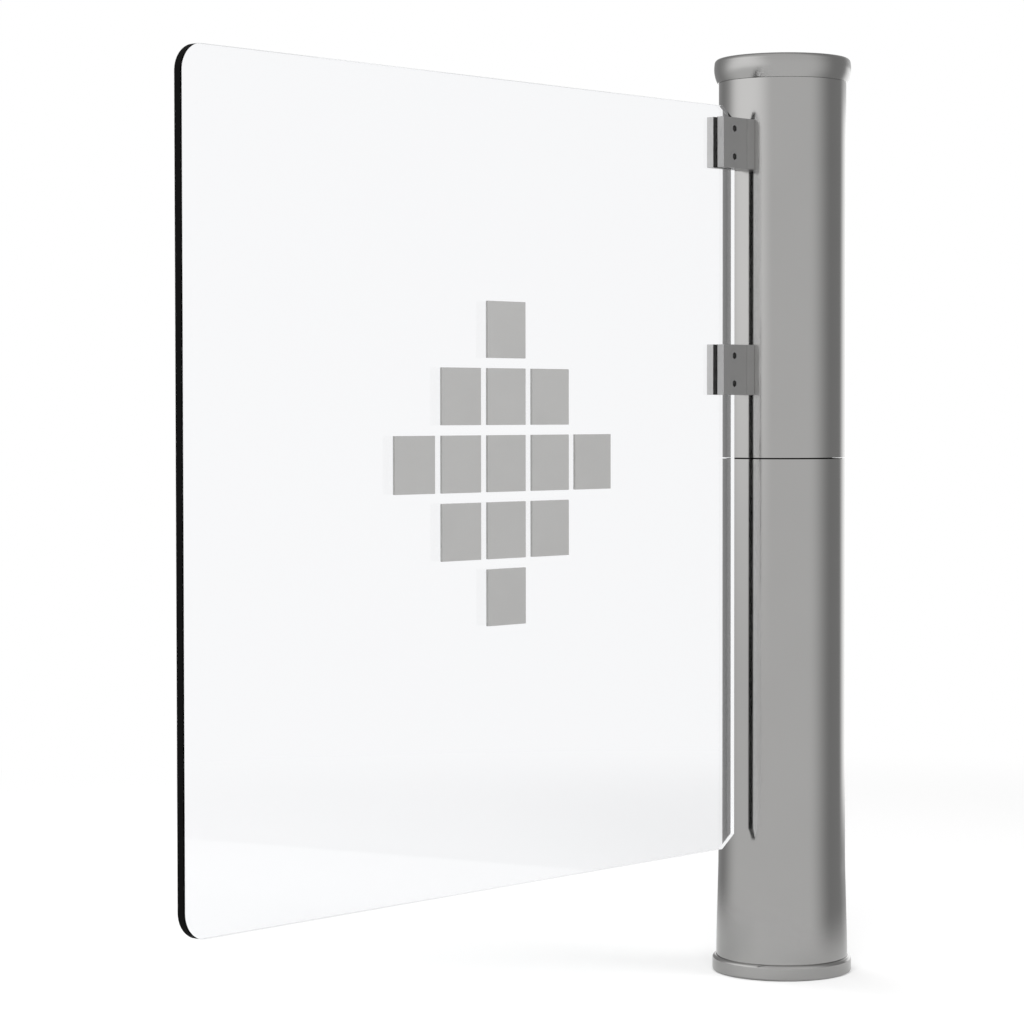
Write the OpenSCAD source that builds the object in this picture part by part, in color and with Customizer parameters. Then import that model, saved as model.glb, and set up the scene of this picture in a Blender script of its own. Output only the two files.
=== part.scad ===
// Motorized pedestrian swing gate: a floor standing drive post and one glass leaf.
// Origin: centre of the floor flange's underside, on the post's axis.
// +Z is up, the leaf reaches along -X when closed, and -Y is its front face.

/* [Post] */
// Height of the post from the floor to the top of the cap
post_h = 1005; // [980:1:1250]
// Outside diameter of the two sleeves, a standard steel tube
post_d = 139.7; // [130:0.1:170]
// Wall thickness of the sleeves
sleeve_wall = 3; // [2:0.5:4]
// How much the foot grows in radius towards the floor
foot_flare = 2.5; // [0:0.5:9]
// Height of the flared foot
foot_flare_h = 130; // [80:1:300]
// Height of the seam between the fixed and the turning sleeve
seam_z = 567; // [500:1:600]
// Width of the open seam
seam_gap = 1.4; // [1:0.1:3]

/* [Cap] */
// Height of the cap's rolled rim
cap_h = 26; // [18:1:30]
// How far the rim stands out from the sleeve below it
cap_proud = 5.2; // [4:0.1:8]
// Radius of the rim's top edge
cap_edge_r = 5; // [2:0.5:6]
// Thickness of the cap's top
cap_plate_t = 4; // [3:0.5:6]
// How far the rim's lower edge stands out from the sleeve
cap_step = 1.4; // [0.2:0.1:2]
// Share of the rim's height at which it is widest
cap_bulge = 0.6; // [0.5:0.01:0.7]
// Depth of the spigot that plugs the cap into the sleeve
cap_spigot_h = 20; // [12:1:30]
// Wall thickness of the spigot
cap_spigot_t = 3; // [2:0.5:5]

/* [Foot] */
// Thickness of the floor flange
flange_t = 10; // [8:1:15]
// Height of the ring round the foot
ring_h = 17; // [12:0.5:24]
// How far the ring stands out from the foot
ring_proud = 4.2; // [3:0.1:6]
// Radius of the ring's edge on the floor
ring_toe_r = 2.5; // [1:0.1:2.7]
// Pitch circle diameter of the anchor holes
anchor_pcd = 108; // [106:1:112]
// Diameter of an anchor hole
anchor_hole_d = 13; // [11:0.5:14]
// Number of anchor holes
anchor_count = 4; // [4:1:8]
// Diameter of the cable entry
cable_hole_d = 25; // [16:1:28]
// Distance of the cable entry from the axis
cable_hole_x = 16; // [15:0.5:18]

/* [Drive] */
// Outside diameter of the fixed mast inside the sleeves
mast_d = 76; // [60:1:80]
// Wall thickness of the mast
mast_wall = 4; // [3:0.5:5]
// Height of the top of the mast
mast_top_z = 858; // [780:1:880]
// Length of the gear motor housing inside the mast
motor_l = 210; // [150:1:260]
// Thickness of the motor flange on top of the mast
motor_flange_t = 8; // [6:1:12]
// Diameter of the output shaft
shaft_d = 20; // [16:1:24]
// Length of shaft that stands out of the motor flange
shaft_l = 34; // [24:1:40]
// Thickness of the drive plate
drive_plate_t = 10; // [8:1:14]
// Outside diameter of the two bearings
bearing_d = 100; // [94:1:104]
// Height of a bearing
bearing_h = 16; // [12:1:24]
// Height of the flange under the lower hub that carries the leaf's weight
thrust_h = 6; // [4:1:8]
// How far that flange reaches under the hub
thrust_w = 5; // [3:0.5:6]
// Height of the collar that centres the lower sleeve on the mast
collar_h = 24; // [15:1:40]

/* [Leaf] */
// Length of the leaf along the floor
leaf_l = 800; // [500:1:1000]
// Height of the leaf
leaf_h = 800; // [740:1:840]
// Height of the leaf's lower edge above the floor
leaf_z = 146; // [120:0.5:160]
// Thickness of the glass
glass_t = 10; // [6:0.5:12]
// Distance from the sleeve to the leaf's inner edge
leaf_gap = 23; // [20:0.5:40]
// Radius of the two free corners
corner_r = 26; // [15:1:60]
// Length of the cut on the two inner corners
cut_x = 21; // [10:1:26]
// Height of the cut on the two inner corners
cut_z = 14.5; // [8:0.5:20]
// Thickness of the black band on the free edge
band_t = 0.8; // [0.5:0.1:3]
// Width of the band, on the middle of the edge
band_w = 7; // [4:0.5:12]
// How far below the upper and above the lower edge the band stops
band_end = 1.5; // [1:0.1:4]

/* [Clamps] */
// Height of a clamp
clamp_h = 54; // [50:1:65]
// Height of the middle of the upper clamp
upper_clamp_z = 906.5; // [880:0.5:912]
// Height of the middle of the lower clamp
lower_clamp_z = 663; // [630:1:720]
// Thickness of a clamp jaw
jaw_t = 8.5; // [6:0.5:10]
// How far the jaws reach over the glass
jaw_grip = 30.5; // [26:0.5:40]
// Thickness of a rubber pad
pad_t = 0.5; // [0.5:0.5:2]
// Distance between the leaf's inner edge and the clamp's heel
heel_gap = 1; // [0.5:0.5:3]
// Width of the heel that the front jaw stands on
heel_w = 9.5; // [8:0.5:13]
// Width of the joint line between the front jaw and the bracket
joint_gap = 0.3; // [0.2:0.1:0.8]
// Distance of the screws from the leaf's inner edge
screw_x = 11.5; // [10:0.5:16]
// Distance between the two screws of a clamp
screw_pitch = 30; // [26:1:34]
// Shank diameter of a clamp screw
screw_d = 8; // [6:1:8]
// Head diameter of a clamp screw
screw_head_d = 14; // [12:1:15]
// Height of a screw's countersunk head
screw_head_h = 4; // [3:0.5:5]
// Width across flats of the screw's socket
socket_af = 6.5; // [4:0.5:7]
// Depth of the screw's socket
socket_depth = 4; // [3:0.5:5]
// Metal left over the end of a screw in the back jaw
thread_skin = 2; // [1.5:0.5:3]
// Gap between a screw and its hole in the glass
glass_hole_gap = 2; // [1:0.5:3]

/* [Marker] */
// Side of one square marker plate
marker_side = 56; // [40:1:60]
// Distance between neighbouring marker plates
marker_pitch = 66; // [62:1:75]
// Number of plates in the longest row
marker_rows = 5; // [3:2:5]
// Thickness of a marker plate
marker_t = 3; // [2:0.5:5]
// Distance of the marker's middle from the leaf's inner edge
marker_x = 372; // [250:1:400]
// Height of the marker's middle above the leaf's lower edge
marker_z = 421; // [300:1:500]

/* [Hidden] */
$fn = 96;

eps = 1;              // how far a cutting tool runs past the face that it cuts
seat = 0.2;           // gap of a fixed piece round the piece that carries it
head_gap = 0.1;       // gap round a screw's countersunk head
run = 0.3;            // running gap between a fixed and a turning piece
flare_steps = 16;     // straight steps that make up one flare
arc_steps = 24;       // straight steps that make up one rounded corner

post_r = post_d/2;
mast_r = mast_d/2;
foot_r = post_r + foot_flare;
cap_z = post_h - cap_h;
lower_top_z = seam_z - seam_gap/2;
upper_foot_z = seam_z + seam_gap/2;
foot_z0 = flange_t;                    // the foot's flare starts on the flange
motor_top_z = mast_top_z + motor_flange_t;

inner_x = -(post_r + leaf_gap);        // leaf's inner edge
free_x = inner_x - leaf_l;             // leaf's free edge
pad_y = glass_t/2 + pad_t;             // jaws' inner faces
jaw_y = pad_y + jaw_t;                 // jaws' outer faces
grip_x = inner_x - jaw_grip;           // jaws' free ends
heel_x = inner_x + heel_gap;           // heel's side towards the glass
root_x = heel_x + heel_w;              // joint line between front jaw and bracket

// Share of a smooth S curve that is reached after the share t of its length
function s_curve(t) = (1 - cos(180*min(max(t, 0), 1)))/2;

// Outside radius of the lower sleeve at a height
function sleeve_r(z) = post_r + foot_flare*(1 - s_curve((z - foot_z0)/foot_flare_h));

// Points of an arc round c, from angle a0 to a1
function arc(c, r, a0, a1) =
    [for (i = [0:arc_steps]) let (a = a0 + (a1 - a0)*i/arc_steps) c + r*[cos(a), sin(a)]];

// Upright ring between two radii
module ring(r_in, r_out, z0, h) {
    translate([0, 0, z0])
        difference() {
            cylinder(r = r_out, h = h);
            translate([0, 0, -eps]) cylinder(r = r_in, h = h + 2*eps);
        }
}

// ---- fixed post ----

module floor_flange() {
    color("dimgray")
        difference() {
            cylinder(r = foot_r, h = flange_t);
            for (i = [0:anchor_count - 1])
                rotate([0, 0, (i + 0.5)*360/anchor_count])
                    translate([anchor_pcd/2, 0, -eps])
                        cylinder(d = anchor_hole_d, h = flange_t + 2*eps);
            translate([cable_hole_x, 0, -eps])
                cylinder(d = cable_hole_d, h = flange_t + 2*eps);
        }
}

module mast() {
    color("dimgray")
        ring(mast_r - mast_wall, mast_r, flange_t, mast_top_z - flange_t);
}

// Band with a small round edge on the floor and a wide one that meets the foot
module base_ring() {
    in_r = foot_r + seat;
    out_r = foot_r + ring_proud;
    top_r = ring_proud - 2*seat;
    color("darkgray")
        rotate_extrude()
            polygon(concat(
                [[in_r, 0]],
                arc([out_r - ring_toe_r, ring_toe_r], ring_toe_r, -90, 0),
                arc([out_r - top_r, ring_h - top_r], top_r, 0, 90),
                [[in_r, ring_h]]));
}

// Tube whose foot grows wider in small steps towards the flange
module lower_sleeve() {
    levels = concat([for (i = [0:flare_steps]) foot_z0 + foot_flare_h*i/flare_steps], [lower_top_z]);
    outer = [for (z = levels) [sleeve_r(z), z]];
    inner = [for (z = levels) [sleeve_r(z) - sleeve_wall, z]];
    color("darkgray")
        rotate_extrude()
            polygon(concat(outer, [for (i = [len(inner) - 1:-1:0]) inner[i]]));
}

// Centres the top of the lower sleeve on the mast
module seam_collar() {
    color("black")
        ring(mast_r + seat, post_r - sleeve_wall - seat, lower_top_z - collar_h, collar_h);
}

// Ring with a flange at its foot, round the mast and on top of the collar
module lower_bearing() {
    h = thrust_h + bearing_h;
    color("silver")
        translate([0, 0, lower_top_z])
            difference() {
                union() {
                    cylinder(r = bearing_d/2 + thrust_w, h = thrust_h);
                    cylinder(d = bearing_d, h = h);
                }
                translate([0, 0, -eps]) cylinder(r = mast_r + seat, h = h + 2*eps);
            }
}

module upper_bearing() {
    color("silver")
        ring(mast_r + seat, bearing_d/2, mast_top_z - bearing_h, bearing_h);
}

// Gear motor that hangs in the mast from a flange on its top end
module drive_unit() {
    color("dimgray") {
        translate([0, 0, mast_top_z - motor_l])
            cylinder(r = mast_r - mast_wall - seat, h = motor_l + motor_flange_t);
        translate([0, 0, mast_top_z]) cylinder(r = mast_r, h = motor_flange_t);
    }
}

// ---- turning leaf ----

module upper_sleeve() {
    color("darkgray")
        ring(post_r - sleeve_wall, post_r, upper_foot_z, cap_z - upper_foot_z);
}

// Ring that fills the upper sleeve from a radius outwards
module sleeve_disc(r_in, z0, h) {
    color("dimgray")
        ring(r_in, post_r - sleeve_wall - seat, z0, h);
}

module lower_hub() {
    sleeve_disc(bearing_d/2 + run, lower_top_z + thrust_h + run, bearing_h - run);
}

module upper_hub() {
    sleeve_disc(bearing_d/2 + run, mast_top_z - bearing_h, bearing_h);
}

module output_shaft() {
    color("silver")
        translate([0, 0, motor_top_z + run])
            cylinder(d = shaft_d, h = shaft_l - run);
}

// Disc that carries the turn of the shaft to the sleeve
module drive_plate() {
    sleeve_disc(shaft_d/2 + seat, motor_top_z + shaft_l - drive_plate_t, drive_plate_t);
}

// Hollow cap: a plate with a round bulging rim and a spigot that plugs into the sleeve
module top_cap() {
    rim_r = post_r + cap_proud;
    step_r = post_r + cap_step;
    rise = cap_bulge*cap_h;
    reach = rim_r - step_r;
    bulge_r = (reach*reach + rise*rise)/(2*reach);
    bulge_c = [rim_r - bulge_r, cap_z + rise];
    foot_a = -asin(rise/bulge_r);
    top_a = asin((cap_h - rise - cap_edge_r)/bulge_r);
    top_p = bulge_c + bulge_r*[cos(top_a), sin(top_a)];
    spigot_r = post_r - sleeve_wall - seat;
    spigot_in_r = spigot_r - cap_spigot_t;
    color("darkgray")
        rotate_extrude()
            polygon(concat(
                arc(bulge_c, bulge_r, foot_a, top_a),
                arc([top_p[0] - cap_edge_r, post_h - cap_edge_r], cap_edge_r, 0, 90),
                [[0, post_h],
                 [0, post_h - cap_plate_t],
                 [spigot_in_r, post_h - cap_plate_t],
                 [spigot_in_r, cap_z - cap_spigot_h],
                 [spigot_r, cap_z - cap_spigot_h],
                 [spigot_r, cap_z]]));
}

// ---- clamps ----

// Places a clamp's two screws, each along +Y from its outer face
module at_screws(zc) {
    for (s = [-1, 1])
        translate([inner_x - screw_x, 0, zc + s*screw_pitch/2])
            rotate([-90, 0, 0]) children();
}

// Block between two corners, both given as [x, y], over a clamp's height
module clamp_block(a, b, zc) {
    translate([a[0], a[1], zc - clamp_h/2])
        cube([b[0] - a[0], b[1] - a[1], clamp_h]);
}

// Back jaw, heel and root in one piece, fitted to the sleeve
module bracket(zc) {
    color("darkgray")
        difference() {
            union() {
                clamp_block([grip_x, pad_y], [root_x, jaw_y], zc);
                clamp_block([heel_x, -pad_y], [root_x, pad_y + eps], zc);
                clamp_block([root_x, -jaw_y], [0, jaw_y], zc);
            }
            translate([0, 0, upper_foot_z]) cylinder(r = post_r + seat, h = cap_z - upper_foot_z);
            at_screws(zc) cylinder(d = screw_d, h = jaw_y - thread_skin);
        }
}

// Front jaw, with two countersunk holes
module clamp_plate(zc) {
    color("gray")
        difference() {
            clamp_block([grip_x, -jaw_y], [root_x - joint_gap, -pad_y], zc);
            at_screws(zc) {
                translate([0, 0, -jaw_y - eps]) cylinder(d = screw_d, h = jaw_t + 2*eps);
                translate([0, 0, -jaw_y]) {
                    translate([0, 0, -eps]) cylinder(d = screw_head_d + 2*head_gap, h = eps);
                    cylinder(d1 = screw_head_d + 2*head_gap, d2 = screw_d, h = screw_head_h);
                }
            }
        }
}

// Rubber pad on one side of the glass; side is -1 for the front and 1 for the back
module pad(zc, side) {
    y0 = side > 0 ? glass_t/2 : -pad_y;
    color("black")
        difference() {
            clamp_block([grip_x, y0], [inner_x, y0 + pad_t], zc);
            at_screws(zc) translate([0, 0, -jaw_y]) cylinder(d = screw_d + 2*seat, h = 2*jaw_y);
        }
}

// Two countersunk screws, each with a hexagon socket
module clamp_screws(zc) {
    shank_d = screw_d - 2*seat;
    color("dimgray")
        at_screws(zc)
            translate([0, 0, -jaw_y])
                difference() {
                    union() {
                        cylinder(d1 = screw_head_d, d2 = shank_d, h = screw_head_h);
                        cylinder(d = shank_d, h = 2*jaw_y - thread_skin - seat);
                    }
                    translate([0, 0, -eps])
                        rotate([0, 0, 30])
                            cylinder(d = socket_af/cos(30), h = socket_depth + eps, $fn = 6);
                }
}

module upper_bracket() { bracket(upper_clamp_z); }
module upper_clamp_plate() { clamp_plate(upper_clamp_z); }
module upper_front_pad() { pad(upper_clamp_z, -1); }
module upper_back_pad() { pad(upper_clamp_z, 1); }
module upper_clamp_screws() { clamp_screws(upper_clamp_z); }
module lower_bracket() { bracket(lower_clamp_z); }
module lower_clamp_plate() { clamp_plate(lower_clamp_z); }
module lower_front_pad() { pad(lower_clamp_z, -1); }
module lower_back_pad() { pad(lower_clamp_z, 1); }
module lower_clamp_screws() { clamp_screws(lower_clamp_z); }

// ---- glass ----

// Leaf seen from the front, from its inner edge to x1: round free corners, cut inner corners
module leaf_outline(x1) {
    top_z = leaf_z + leaf_h;
    polygon(concat(
        [[inner_x, leaf_z + cut_z], [inner_x, top_z - cut_z], [inner_x - cut_x, top_z]],
        arc([x1 + corner_r, top_z - corner_r], corner_r, 90, 180),
        arc([x1 + corner_r, leaf_z + corner_r], corner_r, 180, 270),
        [[inner_x - cut_x, leaf_z]]));
}

// Stands a front view outline up as a plate of a thickness, in the middle plane of the leaf
module as_pane(t) {
    translate([0, t/2, 0])
        rotate([90, 0, 0]) linear_extrude(t) children();
}

module glass_leaf() {
    color("azure")
        difference() {
            as_pane(glass_t) leaf_outline(free_x + band_t);
            for (zc = [upper_clamp_z, lower_clamp_z])
                at_screws(zc)
                    translate([0, 0, -glass_t])
                        cylinder(d = screw_d + 2*glass_hole_gap, h = 2*glass_t);
        }
}

// Thin black band that follows the free edge and thins out round its two corners
module edge_band() {
    color("black")
        as_pane(band_w)
            intersection() {
                difference() {
                    leaf_outline(free_x);
                    leaf_outline(free_x + band_t);
                }
                translate([free_x - eps, leaf_z + band_end])
                    square([corner_r + eps, leaf_h - 2*band_end]);
            }
}

// Lozenge of plain square plates on the glass's front face
module marker_plates() {
    half = (marker_rows - 1)/2;
    color("darkgray")
        for (row = [-half:half], col = [-half:half])
            if (abs(row) + abs(col) <= half)
                translate([inner_x - marker_x + col*marker_pitch - marker_side/2,
                           -glass_t/2 - marker_t,
                           leaf_z + marker_z + row*marker_pitch - marker_side/2])
                    cube([marker_side, marker_t, marker_side]);
}

floor_flange();
mast();
base_ring();
lower_sleeve();
seam_collar();
lower_bearing();
upper_bearing();
drive_unit();
upper_sleeve();
lower_hub();
upper_hub();
output_shaft();
drive_plate();
top_cap();
upper_bracket();
upper_clamp_plate();
upper_front_pad();
upper_back_pad();
upper_clamp_screws();
lower_bracket();
lower_clamp_plate();
lower_front_pad();
lower_back_pad();
lower_clamp_screws();
glass_leaf();
edge_band();
marker_plates();
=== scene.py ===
"""Looks, light and camera for the motorized pedestrian swing gate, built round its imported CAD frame.

Metres, in the CAD's own frame: the post's axis is Z, the floor is z = 0, the glass leaf reaches
along -X when closed, and -Y is the gate's front. An azimuth is in degrees from +X towards +Y.
"""

import math

import bmesh
import bpy
from mathutils import Matrix, Vector

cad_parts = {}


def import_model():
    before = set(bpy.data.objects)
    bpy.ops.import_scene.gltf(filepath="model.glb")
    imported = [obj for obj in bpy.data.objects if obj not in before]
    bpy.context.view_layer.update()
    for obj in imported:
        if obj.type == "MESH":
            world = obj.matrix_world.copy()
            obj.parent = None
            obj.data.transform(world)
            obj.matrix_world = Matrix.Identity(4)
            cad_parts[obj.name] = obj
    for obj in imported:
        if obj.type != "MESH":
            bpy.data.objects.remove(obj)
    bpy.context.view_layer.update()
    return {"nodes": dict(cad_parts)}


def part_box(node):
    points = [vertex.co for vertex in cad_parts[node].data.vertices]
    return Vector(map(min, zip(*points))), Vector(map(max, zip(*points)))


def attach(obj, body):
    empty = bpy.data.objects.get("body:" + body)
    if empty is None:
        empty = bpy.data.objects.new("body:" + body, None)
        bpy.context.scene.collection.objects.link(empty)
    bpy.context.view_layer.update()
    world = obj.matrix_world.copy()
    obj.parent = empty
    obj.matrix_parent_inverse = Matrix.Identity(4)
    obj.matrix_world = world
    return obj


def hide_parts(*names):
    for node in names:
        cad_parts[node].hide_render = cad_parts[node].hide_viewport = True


MM = 0.001

# ---- camera, as the photograph was taken ----

CAMERA_PLACE = (-2.7200, -2.0211, 0.6174)
CAMERA_YAW = 41.664      # azimuth that it looks along
CAMERA_DIP = 1.535       # degrees below the horizon
CAMERA_ROLL = -0.072
SENSOR = 36.0            # mm
LENS = 107.47            # mm
SHIFT_Y = -0.0173
CLIP_START = 0.05
CLIP_END = 200

# ---- edges of the CAD nodes ----

WELD_GAP = 0.01 * MM     # corners closer than this are one
FLAT_TURN = 0.5          # degrees of turn below which faces are one flat
SMOOTH_TURN = 30         # degrees of turn below which an edge is shaded smooth
SHARP_TURN = 60          # degrees of turn above which an edge is rounded
GLASS_LIFT = 0.02 * MM   # how far the plates stand off the glass

# Width of the rounded edges and the steps across them, by material slot; one step is a chamfer
EDGES = {
    "post_finish": (0.25 * MM, 2),
    "clamp_metal": (0.15 * MM, 2),
    "marker_grey": (0.4 * MM, 3),
    "glass": (0.7 * MM, 1),
}

# ---- light, where 1 is white ----

WHITE = 1.0
SKY_LEVEL = 0.55         # the world as matt surfaces receive it
DARK_LEVEL = 0.35        # what mirrors see where there is no soft box

SHELL_RADIUS = 5.0
SHELL_HEIGHT = 0.5       # of the shell's middle

# Soft boxes on the shell. Each grows between two cosines of the angle from its azimuth. A fade goes
# between two heights above the shell's middle, from one share of the light to another.
SOFT_BOXES = {
    "pale wall in front": {
        "azimuth": 198,
        "cosines": (-0.47, 0.41),
        "level": 0.555,
        "fades": [((0.6, 3.2), (1.0, 0.85))],
    },
    "box on the left": {
        "azimuth": 150,
        "cosines": (0.64, 1.0),
        "level": 0.45,
        "fades": [((-0.8, 0.6), (0.0, 1.0)), ((0.6, 2.5), (1.0, 1.5))],
    },
    "white wall behind": {
        "azimuth": 18,
        "cosines": (0.81, 0.995),
        "level": 1.1,
        "fades": [((-1.1, -0.8), (0.1, 1.0)), ((0.86, 1.0), (1.0, 0.35))],
    },
}

# Lamps that light matt surfaces: azimuth, elevation in degrees and watts
LAMPS = {
    "key_lamp": (215, 40, 60),
    "fill_lamp": (300, 30, 30),
    "back_lamp": (70, 45, 30),
}
LAMP_TARGET = (-0.4, 0, 0.5)
LAMP_DISTANCE = 3.0
LAMP_SIZE = 2.0

# ---- floor ----

FLOOR_REACH = 40         # from its middle to its sides
FLOOR_DROP = 0.2 * MM    # keeps it clear of the foot
FLOOR_GREY = 0.86        # as lamps light it
SEEN_GLOW = 0.13         # lifts that to white where it is seen
GLASS_LOSS = 0.05        # part of the glow that the glass takes
WHITE_FROM = (1.2, 2.2)  # distances over which it runs out into plain white
SHADE_AZIMUTH = 13
SHADE_EDGE = (0.53, 0.57)    # distances along that azimuth where the shade begins
SHADE_END = (0.9, 2.0)       # distances from the post over which it fades
SHADE_LEVEL = 0.045          # what the shade takes
MIRRORED_GREY = 0.77     # as mirrors see it
MIRRORED_MIDDLE = (-0.13, 0.075, 0)
MIRRORED_EDGE = (0.15, 0.75)     # distances from there over which mirrors lose it


# ---- node helpers ----

NOISE_RANGE = (0.3, 0.7)         # where nearly all of a noise's values lie
MIX_FIRST = 6                    # the colour sockets of a Mix node
MIX_SECOND = 7
MIX_RESULT = 2


def add(tree, kind, inputs=None, **settings):
    """A new shader or geometry node. An input is a value, or an output socket to link from."""
    node = tree.nodes.new(kind)
    for name, value in settings.items():
        setattr(node, name, value)
    for key, value in (inputs or {}).items():
        socket = node.inputs[key]
        if isinstance(value, bpy.types.NodeSocket):
            tree.links.new(value, socket)
        else:
            socket.default_value = value
    return node


def maths(tree, operation, a, b=0.0):
    return add(tree, "ShaderNodeMath", {0: a, 1: b}, operation=operation).outputs[0]


def measure(tree, operation, a, b=(0, 0, 0)):
    """The number that a vector operation gives, such as a distance."""
    return add(tree, "ShaderNodeVectorMath", {0: a, 1: b}, operation=operation).outputs["Value"]


def coordinate(tree, place, axis):
    return add(tree, "ShaderNodeSeparateXYZ", {0: place}).outputs[axis]


def ramp(tree, value, span, result):
    """value, carried smoothly from the two ends of span to the two ends of result."""
    inputs = {
        "Value": value,
        "From Min": span[0],
        "From Max": span[1],
        "To Min": result[0],
        "To Max": result[1],
    }
    node = add(tree, "ShaderNodeMapRange", inputs, interpolation_type="SMOOTHSTEP")
    return node.outputs["Result"]


def noise(tree, place, size, detail=2.0, stretch=(1, 1, 1)):
    """Noise with features of about the given size in metres, longer along a small stretch."""
    scaled = add(tree, "ShaderNodeVectorMath", {0: place, 1: stretch}, operation="MULTIPLY")
    inputs = {"Vector": scaled.outputs[0], "Scale": 1 / size, "Detail": detail}
    return add(tree, "ShaderNodeTexNoise", inputs).outputs["Fac"]


def follow(tree, pattern, low, high):
    """A value that goes from low to high as a noise does."""
    return ramp(tree, pattern, NOISE_RANGE, (low, high))


def mix_colour(tree, factor, first, second):
    inputs = {"Factor": factor, MIX_FIRST: first, MIX_SECOND: second}
    return add(tree, "ShaderNodeMix", inputs, data_type="RGBA").outputs[MIX_RESULT]


def mix_shader(tree, factor, first, second):
    """first where the factor is 0, and second where it is 1."""
    return add(tree, "ShaderNodeMixShader", {0: factor, 1: first, 2: second}).outputs[0]


def bump(tree, height, depth):
    """Bump whose full height is depth metres."""
    return add(tree, "ShaderNodeBump", {"Height": height, "Distance": depth}).outputs["Normal"]


def grey(level, warmth=0.0):
    """A grey a little warmer or cooler than neutral."""
    return (level * (1 + warmth), level, level * (1 - 2 * warmth), 1)


def principled(tree, **inputs):
    """A Principled shader. Names use _ for the spaces in a socket's name."""
    named = {key.replace("_", " "): value for key, value in inputs.items()}
    return add(tree, "ShaderNodeBsdfPrincipled", named).outputs[0]


def new_material(name):
    """An empty node material, and its tree, its surface socket and its object coordinates."""
    material = bpy.data.materials.new(name)
    material.use_nodes = True
    tree = material.node_tree
    tree.nodes.clear()
    surface = tree.nodes.new("ShaderNodeOutputMaterial").inputs["Surface"]
    place = tree.nodes.new("ShaderNodeTexCoord").outputs["Object"]
    return material, tree, surface, place


# ---- looks, one for each material slot of the record and named like it ----

def post_finish(tree, place):
    """Satin metallic coating: cloudy by a hair, with a fine orange peel, duller on the cap."""
    clouds = noise(tree, place, 120 * MM, detail=3.0)
    peel = noise(tree, place, 1.2 * MM)
    sleeve_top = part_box("upper_sleeve")[1][2]
    height = coordinate(tree, place, "Z")
    cap = ramp(tree, height, (sleeve_top, sleeve_top + 0.1 * MM), (0.0, 0.09))
    return principled(
        tree,
        Base_Color=mix_colour(tree, clouds, grey(0.385, 0.008), grey(0.415, 0.008)),
        Metallic=1.0,
        Roughness=maths(tree, "ADD", follow(tree, clouds, 0.11, 0.14), cap),
        Normal=bump(tree, peel, 0.004 * MM),
    )


def clamp_metal(tree, place):
    """Grey clamp castings with a fine sanded grain."""
    grain = noise(tree, place, 0.6 * MM, stretch=(1, 1, 0.15))
    clouds = noise(tree, place, 20 * MM, detail=3.0)
    return principled(
        tree,
        Base_Color=mix_colour(tree, clouds, grey(0.48, 0.003), grey(0.52, 0.003)),
        Metallic=1.0,
        Roughness=follow(tree, grain, 0.38, 0.44),
        Normal=bump(tree, grain, 0.006 * MM),
    )


def screw_steel(tree, place):
    """Screws finished like the clamps, with painted shade darkening the sockets below their faces."""
    marks = noise(tree, place, 0.5 * MM, stretch=(1, 0.2, 1))
    face = mix_colour(tree, marks, grey(0.48), grey(0.52))
    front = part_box("upper_clamp_screws")[0][1]
    depth = coordinate(tree, place, "Y")
    # painted shade: the steel goes dark grey behind the screws' front faces, standing in for the shade
    # down in the sockets
    socket = ramp(tree, depth, (front + 0.02 * MM, front + 0.12 * MM), (0.0, 1.0))
    return principled(
        tree,
        Base_Color=mix_colour(tree, socket, face, grey(0.28)),
        Metallic=1.0,
        Roughness=follow(tree, marks, 0.38, 0.44),
        Normal=bump(tree, marks, 0.006 * MM),
    )


def rubber(tree, place):
    """Matt black pads with a dusty bloom."""
    bloom = noise(tree, place, 4 * MM, detail=4.0)
    grain = noise(tree, place, 0.8 * MM)
    return principled(
        tree,
        Base_Color=mix_colour(tree, bloom, grey(0.010), grey(0.018)),
        Roughness=follow(tree, bloom, 0.6, 0.75),
        Normal=bump(tree, grain, 0.03 * MM),
    )


def glass(tree, place):
    """Clear toughened glass with a slight roller wave. Lamps shine through it."""
    wave = noise(tree, place, 250 * MM, detail=1.0, stretch=(1, 1, 0.4))
    shader = principled(
        tree,
        Base_Color=(0.968, 0.972, 0.983, 1),
        Roughness=0.0,
        IOR=1.5,
        Transmission_Weight=1.0,
        Normal=bump(tree, wave, 0.02 * MM),
    )
    clear = add(tree, "ShaderNodeBsdfTransparent", {"Color": (0.93, 0.94, 0.94, 1)}).outputs[0]
    shadow_ray = add(tree, "ShaderNodeLightPath").outputs["Is Shadow Ray"]
    return mix_shader(tree, shadow_ray, shader, clear)


def edge_black(tree, place):
    """Black edge finish, satin and very slightly uneven."""
    spots = noise(tree, place, 6 * MM, detail=3.0)
    grain = noise(tree, place, 1 * MM)
    return principled(
        tree,
        Base_Color=mix_colour(tree, spots, grey(0.003), grey(0.005)),
        Roughness=follow(tree, spots, 0.4, 0.5),
        IOR=1.08,
        Normal=bump(tree, grain, 0.01 * MM),
    )


def marker_grey(tree, place):
    """Matt grey plates with a fine sprayed grain."""
    spray = noise(tree, place, 1.5 * MM, detail=3.0)
    clouds = noise(tree, place, 50 * MM)
    return principled(
        tree,
        Base_Color=mix_colour(tree, clouds, grey(0.335, 0.006), grey(0.36, 0.006)),
        Roughness=follow(tree, spray, 0.45, 0.55),
        Normal=bump(tree, spray, 0.02 * MM),
    )


def seam_black(tree, place):
    """Dull black of the collar and the bearing that show in the seam; on the bearing the black is
    painted shade that keeps the seam's gap dark.
    """
    dust = noise(tree, place, 10 * MM, detail=4.0)
    return principled(
        tree,
        Base_Color=mix_colour(tree, dust, grey(0.02), grey(0.035)),
        Roughness=follow(tree, dust, 0.6, 0.8),
        Normal=bump(tree, dust, 0.05 * MM),
    )


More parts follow.
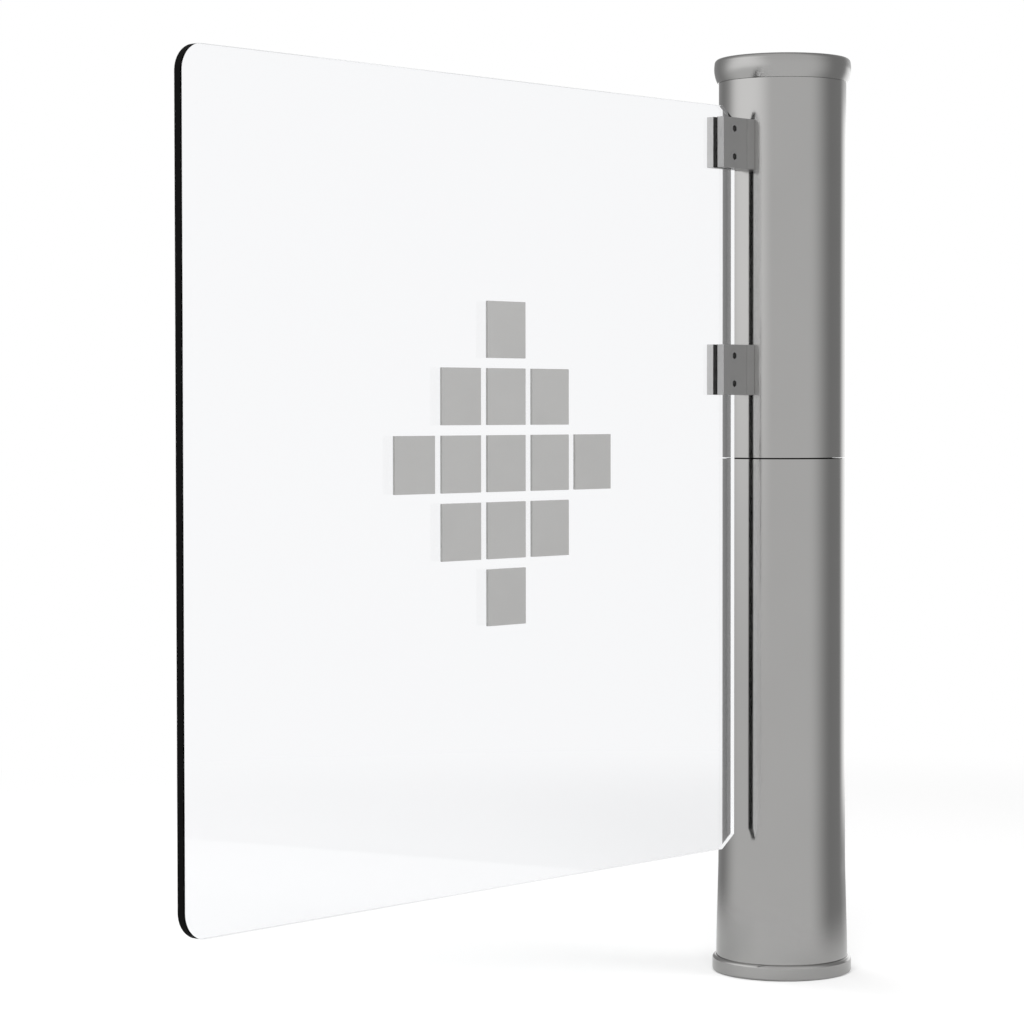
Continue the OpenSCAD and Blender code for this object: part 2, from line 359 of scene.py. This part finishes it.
def inner_steel(tree, place):
    """Oiled mill steel inside the post."""
    scale = noise(tree, place, 30 * MM, detail=5.0)
    return principled(
        tree,
        Base_Color=mix_colour(tree, scale, grey(0.14, 0.01), grey(0.22, 0.01)),
        Metallic=0.9,
        Roughness=follow(tree, scale, 0.4, 0.6),
        Normal=bump(tree, scale, 0.08 * MM),
    )


def bright_steel(tree, place):
    """Ground steel of the shaft and the upper bearing, with marks that run round them."""
    marks = noise(tree, place, 0.8 * MM, stretch=(0.1, 0.1, 1))
    return principled(
        tree,
        Base_Color=mix_colour(tree, marks, grey(0.5), grey(0.58)),
        Metallic=1.0,
        Roughness=follow(tree, marks, 0.2, 0.3),
        Normal=bump(tree, marks, 0.008 * MM),
    )


LOOKS = (
    post_finish,
    clamp_metal,
    screw_steel,
    rubber,
    glass,
    edge_black,
    marker_grey,
    seam_black,
    inner_steel,
    bright_steel,
)


def make_materials():
    """A material for each look, by the name of its slot."""
    made = {}
    for look in LOOKS:
        slot = look.__name__
        material, tree, surface, place = new_material(slot + "_look")
        tree.links.new(look(tree, place), surface)
        made[slot] = material
    return made


def dress(objects):
    """Gives each object the look of the material slot that it came with."""
    made = make_materials()
    for obj in objects:
        for material_slot in obj.material_slots:
            material_slot.material = made[material_slot.material.name]


# ---- edges and smoothing, all as modifiers, and the piece for the plates ----

def node_group(name):
    """An empty geometry node group that takes and gives one geometry."""
    group = bpy.data.node_groups.new(name, "GeometryNodeTree")
    group.interface.new_socket("Geometry", in_out="INPUT", socket_type="NodeSocketGeometry")
    group.interface.new_socket("Geometry", in_out="OUTPUT", socket_type="NodeSocketGeometry")
    start = group.nodes.new("NodeGroupInput").outputs[0]
    end = group.nodes.new("NodeGroupOutput").inputs[0]
    return group, start, end


def welding_group():
    """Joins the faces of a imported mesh, which come apart at its creases."""
    group, start, end = node_group("weld_faces")
    bare = add(group, "GeometryNodeRemoveAttribute", {"Geometry": start, "Name": "custom_normal"})
    inputs = {"Geometry": bare.outputs[0], "Distance": WELD_GAP}
    welded = add(group, "GeometryNodeMergeByDistance", inputs)
    group.links.new(welded.outputs[0], end)
    return group


def smoothing_group():
    """Smooth shading across edges that turn less than SMOOTH_TURN."""
    group, start, end = node_group("smooth_by_angle")
    inputs = {"Geometry": start, "Shade Smooth": True}
    faces = add(group, "GeometryNodeSetShadeSmooth", inputs, domain="FACE")
    turn = add(group, "GeometryNodeInputMeshEdgeAngle").outputs["Unsigned Angle"]
    inputs = {0: turn, 1: math.radians(SMOOTH_TURN)}
    soft = add(group, "FunctionNodeCompare", inputs, operation="LESS_THAN")
    inputs = {"Geometry": faces.outputs[0], "Shade Smooth": soft.outputs[0]}
    edges = add(group, "GeometryNodeSetShadeSmooth", inputs, domain="EDGE")
    group.links.new(edges.outputs[0], end)
    return group


def run_group(obj, name, group):
    modifier = obj.modifiers.new(name, "NODES")
    modifier.node_group = group


def round_edges(obj, width, steps):
    """Rounds an object's sharp edges, once each of its flats is one face."""
    flats = obj.modifiers.new("clean_flats", "DECIMATE")
    flats.decimate_type = "DISSOLVE"
    flats.angle_limit = math.radians(FLAT_TURN)
    rounding = obj.modifiers.new("round_edges", "BEVEL")
    rounding.width = width
    rounding.segments = steps
    rounding.limit_method = "ANGLE"
    rounding.angle_limit = math.radians(SHARP_TURN)


def keep_flats_flat(obj):
    """Lets the large faces set the shading next to the rounded edges."""
    flats = obj.modifiers.new("keep_flats", "WEIGHTED_NORMAL")
    flats.keep_sharp = True
    flats.weight = 100


def soften_all(objects):
    """Welds each object, rounds its edges as its material slot asks and smooths the rest."""
    weld = welding_group()
    smooth = smoothing_group()
    for obj in objects:
        width, steps = EDGES.get(obj.material_slots[0].material.name, (0, 1))
        run_group(obj, "weld", weld)
        if width:
            round_edges(obj, width, steps)
        run_group(obj, "smooth", smooth)
        if steps > 1:
            keep_flats_flat(obj)


def plates_off_glass(node):
    """A piece for the plates, a hair off the glass, because faces that coincide with it look black."""
    form = node.data.copy()
    form.transform(Matrix.Translation((0, -GLASS_LIFT, 0)))
    obj = put("lozenge_plates", form)
    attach(obj, "leaf")
    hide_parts("marker_plates")
    return obj


# ---- studio ----

def direction(azimuth, elevation=0.0):
    """Unit vector at an azimuth and an elevation in degrees."""
    a = math.radians(azimuth)
    e = math.radians(elevation)
    return Vector((math.cos(a) * math.cos(e), math.sin(a) * math.cos(e), math.sin(e)))


def put(name, data):
    """A new object in the scene."""
    obj = bpy.data.objects.new(name, data)
    bpy.context.scene.collection.objects.link(obj)
    return obj


def put_mesh(name, form):
    """A new object in the scene that holds a finished bmesh."""
    mesh = bpy.data.meshes.new(name)
    form.to_mesh(mesh)
    form.free()
    return put(name, mesh)


def only_seen_by_mirrors(obj):
    obj.visible_camera = False
    obj.visible_diffuse = False
    obj.visible_transmission = False
    obj.visible_volume_scatter = False
    obj.visible_shadow = False


def soft_box(tree, place, azimuth, cosines, level, fades):
    """Strength of the light at a place on the shell from one of the SOFT_BOXES."""
    outward = add(tree, "ShaderNodeVectorMath", {0: place}, operation="NORMALIZE").outputs[0]
    cosine = measure(tree, "DOT_PRODUCT", outward, direction(azimuth))
    light = ramp(tree, cosine, cosines, (0.0, level))
    for heights, shares in fades:
        share = ramp(tree, coordinate(tree, place, "Z"), heights, shares)
        light = maths(tree, "MULTIPLY", light, share)
    return light


def reflectors():
    """A round shell of soft boxes and dark flags, which only glossy surfaces see."""
    shell = bmesh.new()
    bmesh.ops.create_uvsphere(shell, u_segments=48, v_segments=24, radius=SHELL_RADIUS)
    obj = put_mesh("reflectors", shell)
    obj.location.z = SHELL_HEIGHT
    material, tree, surface, place = new_material("reflector_light")
    level = DARK_LEVEL
    for box in SOFT_BOXES.values():
        level = maths(tree, "ADD", level, soft_box(tree, place, **box))
    light = add(tree, "ShaderNodeEmission", {"Strength": level})
    tree.links.new(light.outputs[0], surface)
    material.cycles.emission_sampling = "NONE"
    obj.data.materials.append(material)
    only_seen_by_mirrors(obj)


def seen_directly(tree):
    """1 for rays from the camera, from mirrors and through glass."""
    path = add(tree, "ShaderNodeLightPath")
    seen = maths(tree, "MAXIMUM", path.outputs["Is Camera Ray"], path.outputs["Is Glossy Ray"])
    return maths(tree, "MAXIMUM", seen, path.outputs["Is Transmission Ray"])


def shade_through_glass(tree, place, through):
    """What the floor beyond the post loses, where through says that a ray came through glass."""
    beyond = measure(tree, "DOT_PRODUCT", place, direction(SHADE_AZIMUTH))
    edge = ramp(tree, beyond, SHADE_EDGE, (0.0, 1.0))
    depth = ramp(tree, measure(tree, "LENGTH", place), SHADE_END, (SHADE_LEVEL, 0.0))
    return maths(tree, "MULTIPLY", maths(tree, "MULTIPLY", edge, depth), through)


def seen_floor(tree, place, through):
    """The floor as it is seen: matt near the gate, with its shadow, and plain white far away."""
    shade = shade_through_glass(tree, place, through)
    matt = add(tree, "ShaderNodeBsdfDiffuse", {"Color": grey(FLOOR_GREY)})
    glow = maths(tree, "MULTIPLY", seen_directly(tree), SEEN_GLOW)
    glow = maths(tree, "SUBTRACT", glow, shade)
    glow = maths(tree, "SUBTRACT", glow, maths(tree, "MULTIPLY", through, GLASS_LOSS))
    lift = add(tree, "ShaderNodeEmission", {"Strength": glow})
    near = add(tree, "ShaderNodeAddShader", {0: matt.outputs[0], 1: lift.outputs[0]})
    far = add(tree, "ShaderNodeEmission", {"Strength": maths(tree, "SUBTRACT", WHITE, shade)})
    share = ramp(tree, measure(tree, "LENGTH", place), WHITE_FROM, (0.0, 1.0))
    return mix_shader(tree, share, near.outputs[0], far.outputs[0])


def mirrored_floor(tree, place):
    """The floor as mirrors see it: only round the post, fading into what the shell shows them."""
    matt = add(tree, "ShaderNodeBsdfDiffuse", {"Color": grey(MIRRORED_GREY)})
    gone = add(tree, "ShaderNodeBsdfTransparent")
    faded = ramp(tree, measure(tree, "DISTANCE", place, MIRRORED_MIDDLE), MIRRORED_EDGE, (0.0, 1.0))
    return mix_shader(tree, faded, matt.outputs[0], gone.outputs[0])


def floor():
    """Pale floor, which mirrors see in a way of their own.

    A ray that came through glass counts as glossy too, so it is taken off to find the mirrors.
    """
    sheet = bmesh.new()
    bmesh.ops.create_grid(sheet, x_segments=1, y_segments=1, size=FLOOR_REACH)
    obj = put_mesh("floor", sheet)
    obj.location.z = -FLOOR_DROP
    material, tree, surface, place = new_material("floor_white")
    path = add(tree, "ShaderNodeLightPath")
    through = path.outputs["Is Transmission Ray"]
    mirrored = maths(tree, "SUBTRACT", path.outputs["Is Glossy Ray"], through)
    mixed = mix_shader(tree, mirrored, seen_floor(tree, place, through), mirrored_floor(tree, place))
    tree.links.new(mixed, surface)
    material.cycles.emission_sampling = "NONE"
    obj.data.materials.append(material)


def world():
    """White where it is seen, and a plain level where it lights matt surfaces."""
    sky = bpy.data.worlds.new("studio")
    bpy.context.scene.world = sky
    sky.use_nodes = True
    tree = sky.node_tree
    tree.nodes.clear()
    inputs = {"Value": seen_directly(tree), "To Min": SKY_LEVEL, "To Max": WHITE}
    strength = add(tree, "ShaderNodeMapRange", inputs).outputs["Result"]
    background = add(tree, "ShaderNodeBackground", {"Color": grey(1), "Strength": strength})
    out = tree.nodes.new("ShaderNodeOutputWorld")
    tree.links.new(background.outputs[0], out.inputs["Surface"])


def lamps():
    """Square soft boxes that look at the middle of the gate."""
    for name, (azimuth, elevation, watts) in LAMPS.items():
        data = bpy.data.lights.new(name, "AREA")
        data.shape = "SQUARE"
        data.size = LAMP_SIZE
        data.energy = watts
        obj = put(name, data)
        towards = direction(azimuth, elevation)
        obj.location = Vector(LAMP_TARGET) + towards * LAMP_DISTANCE
        obj.rotation_mode = "QUATERNION"
        obj.rotation_quaternion = towards.to_track_quat("Z", "Y")
        obj.visible_glossy = False
        obj.visible_transmission = False
        obj.visible_camera = False


def camera():
    """The photograph's view, with its small roll and vertical shift."""
    roll = math.radians(CAMERA_ROLL)
    ahead = direction(CAMERA_YAW, -CAMERA_DIP)
    level_right = direction(CAMERA_YAW - 90)
    level_up = level_right.cross(ahead)
    right = level_right * math.cos(roll) + level_up * math.sin(roll)
    up = right.cross(ahead)
    data = bpy.data.cameras.new("camera")
    data.sensor_width = SENSOR
    data.lens = LENS
    data.shift_y = SHIFT_Y
    data.clip_start = CLIP_START
    data.clip_end = CLIP_END
    obj = put("camera", data)
    axes = Matrix((right, up, -ahead)).transposed().to_4x4()
    obj.matrix_world = Matrix.Translation(CAMERA_PLACE) @ axes
    bpy.context.scene.camera = obj


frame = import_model()

shown = dict(frame["nodes"])
shown["marker_plates"] = plates_off_glass(shown["marker_plates"])
soften_all(shown.values())
dress(shown.values())

world()
floor()
reflectors()
lamps()
camera()
bpy.context.scene.view_settings.view_transform = "Standard"
